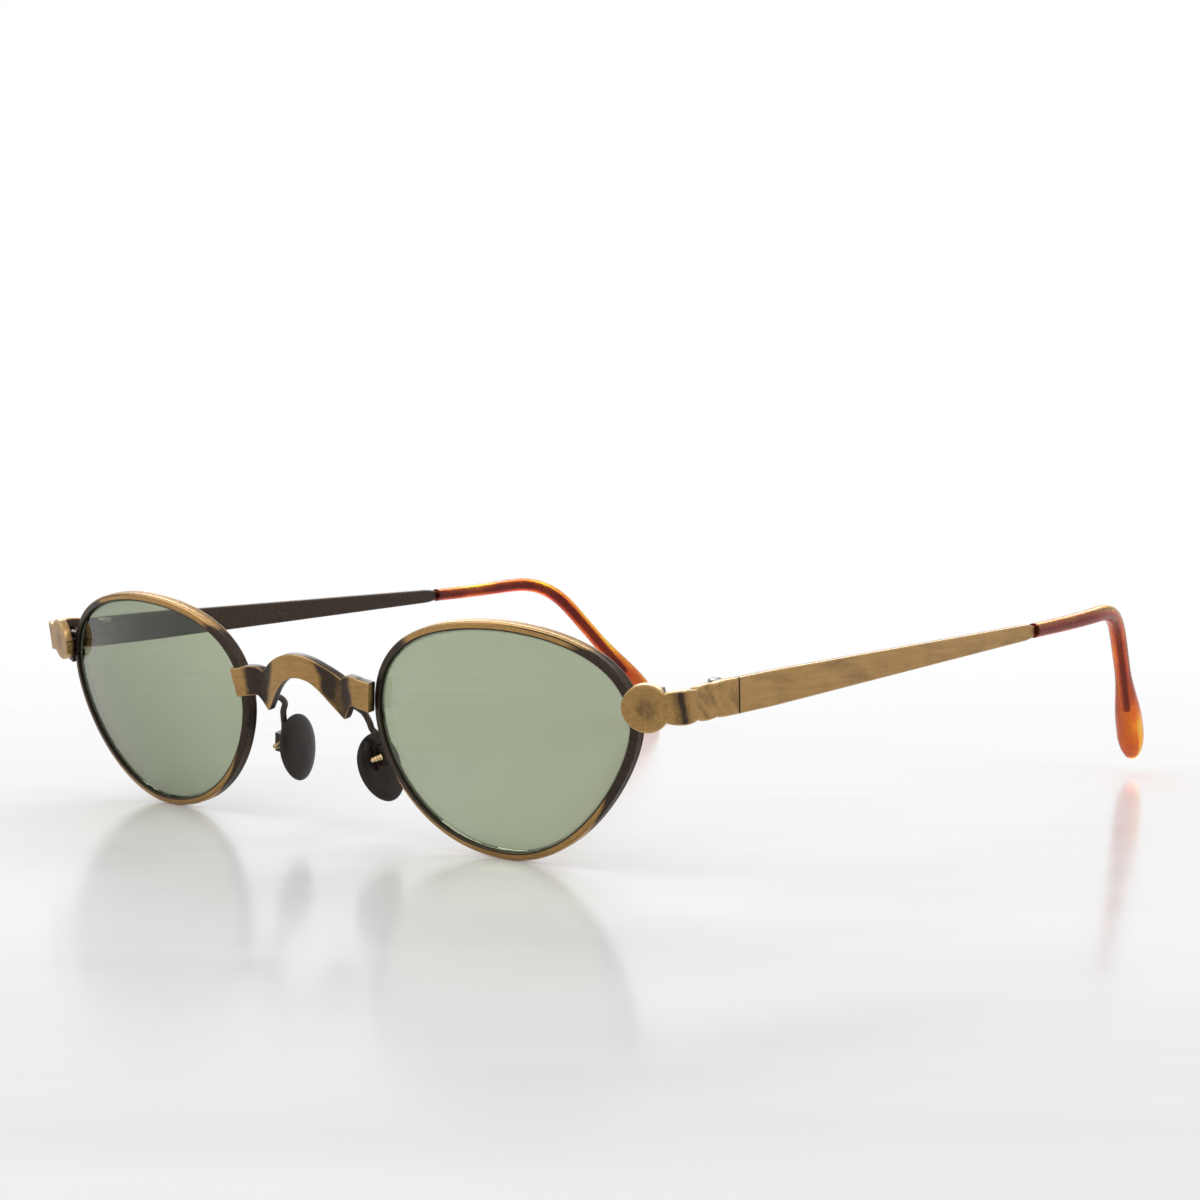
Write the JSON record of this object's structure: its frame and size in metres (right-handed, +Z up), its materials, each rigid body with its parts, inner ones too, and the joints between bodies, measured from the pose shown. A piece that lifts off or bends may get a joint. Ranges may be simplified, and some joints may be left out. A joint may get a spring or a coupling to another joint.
{
  "type": "sunglasses",
  "caption": "Metal sunglasses with curved tinted lenses in grooved rims, a notched plate bridge, rocking nose pads and folding temples with amber tips.",
  "frame": {"origin": "centre of the object's footprint, on the table it stands on", "axes": "+Z up, the lenses face -Y, +X is the wearer's left, the temples run towards +Y"},
  "size_m": [0.127, 0.1508, 0.032],
  "materials": {
    "bridge_brass": "antique, burnished, satin",
    "rim_brass": "antique, burnished, satin",
    "lens_glass": "polished, grey-green tint",
    "end_piece_brass": "antique, burnished, satin",
    "lock_patina": "dark antique patina, satin",
    "hinge_patina": "dark antique patina, satin",
    "screw_brass": "bright, satin",
    "temple_brass": "antique, burnished, satin",
    "tip_plastic": "polished, translucent amber and red-brown mottle",
    "arm_patina": "dark antique patina, satin",
    "pad_plastic": "satin dark brown"
  },
  "bodies": {
    "front": {"bridge": "bridge_brass", "rim_left": "rim_brass", "rim_right": "rim_brass", "lens_left": "lens_glass", "lens_right": "lens_glass", "end_piece_left": "end_piece_brass", "end_piece_right": "end_piece_brass", "rim_lock_upper_left": "lock_patina", "rim_lock_upper_right": "lock_patina", "rim_lock_lower_left": "lock_patina", "rim_lock_lower_right": "lock_patina", "rim_lock_screw_left": "lock_patina", "rim_lock_screw_right": "lock_patina", "hinge_front_left": "hinge_patina", "hinge_front_right": "hinge_patina", "hinge_screw_left": "screw_brass", "hinge_screw_right": "screw_brass", "pad_arm_left": "arm_patina", "pad_arm_right": "arm_patina", "pad_box_left": "arm_patina", "pad_box_right": "arm_patina", "pad_screw_left": "screw_brass", "pad_screw_right": "screw_brass"},
    "temple_left": {"temple_left": "temple_brass", "hinge_temple_left": "hinge_patina", "temple_tip_left": "tip_plastic"},
    "temple_right": {"temple_right": "temple_brass", "hinge_temple_right": "hinge_patina", "temple_tip_right": "tip_plastic"},
    "pad_left": {"pad_mount_left": "arm_patina", "nose_pad_left": "pad_plastic"},
    "pad_right": {"pad_mount_right": "arm_patina", "nose_pad_right": "pad_plastic"}
  },
  "joints": [
    {"name": "temple_fold_left", "type": "hinge", "parent": "front", "child": "temple_left", "pos_m": [0.059, -0.05898, 0.02317], "axis": [0, -0.0603, 0.9982], "range_deg": [0, 90]},
    {"name": "temple_fold_right", "type": "hinge", "parent": "front", "child": "temple_right", "pos_m": [-0.06084, -0.05907, 0.02368], "axis": [0, 0.0407, -0.9992], "range_deg": [-1.3, 78.7]},
    {"name": "pad_rock_left", "type": "hinge", "parent": "front", "child": "pad_left", "pos_m": [0.00918, -0.06695, 0.01147], "axis": [0.1366, 0.9684, 0.2084], "range_deg": [-10, 10]},
    {"name": "pad_rock_right", "type": "hinge", "parent": "front", "child": "pad_right", "pos_m": [-0.01102, -0.06695, 0.01147], "axis": [-0.1366, 0.9684, 0.2084], "range_deg": [-1, 19]}
  ]
}
